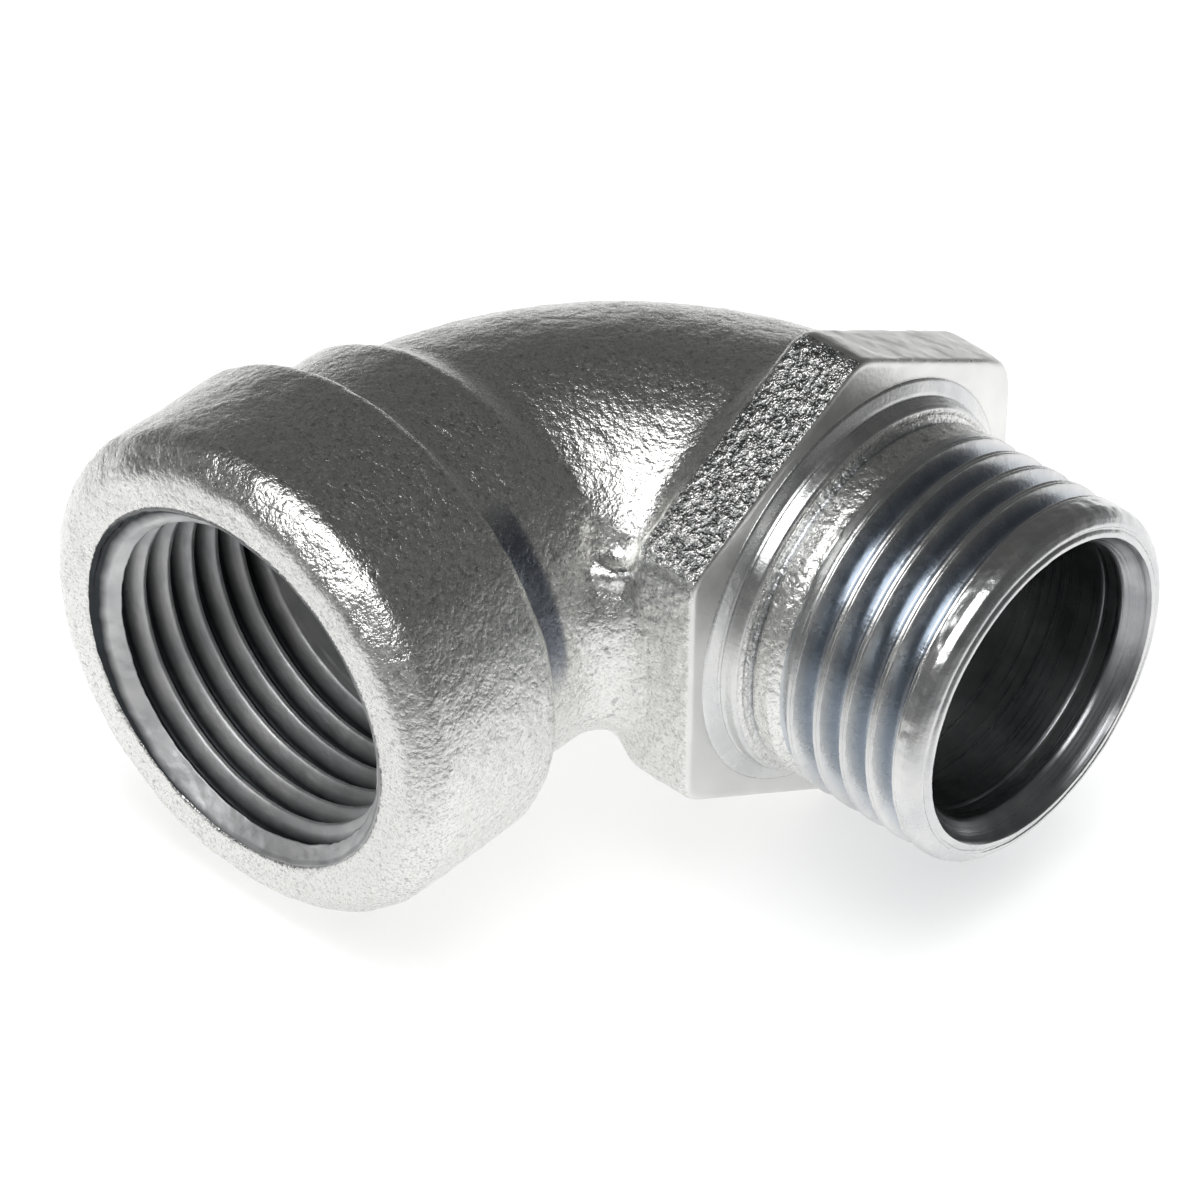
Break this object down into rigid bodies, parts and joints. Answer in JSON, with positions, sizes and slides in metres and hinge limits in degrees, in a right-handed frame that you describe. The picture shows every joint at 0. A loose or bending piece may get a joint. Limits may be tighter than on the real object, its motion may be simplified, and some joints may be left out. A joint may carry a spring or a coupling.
{
  "type": "street elbow",
  "caption": "Cast 90 degree male and female pipe elbow with a hexagon shoulder, a threaded spigot and a banded, threaded socket.",
  "frame": {"origin": "where the axis of the male spigot crosses the machined front face of the hexagon", "axes": "+X out of the male spigot, -Y out of the mouth of the female socket, +Z normal to the plane of the two ports"},
  "size_m": [0.0457, 0.0421, 0.0296],
  "materials": {
    "cast": "as-cast, zinc plated",
    "machined": "machined, zinc plated"
  },
  "bodies": {
    "root": {"female_socket": "cast", "socket_shoulder": "cast", "elbow_bend": "cast", "hex_flange": "cast", "neck_collar": "cast", "male_shank": "machined", "nose_ring": "cast", "male_thread": "machined", "female_thread": "machined"}
  },
  "joints": []
}
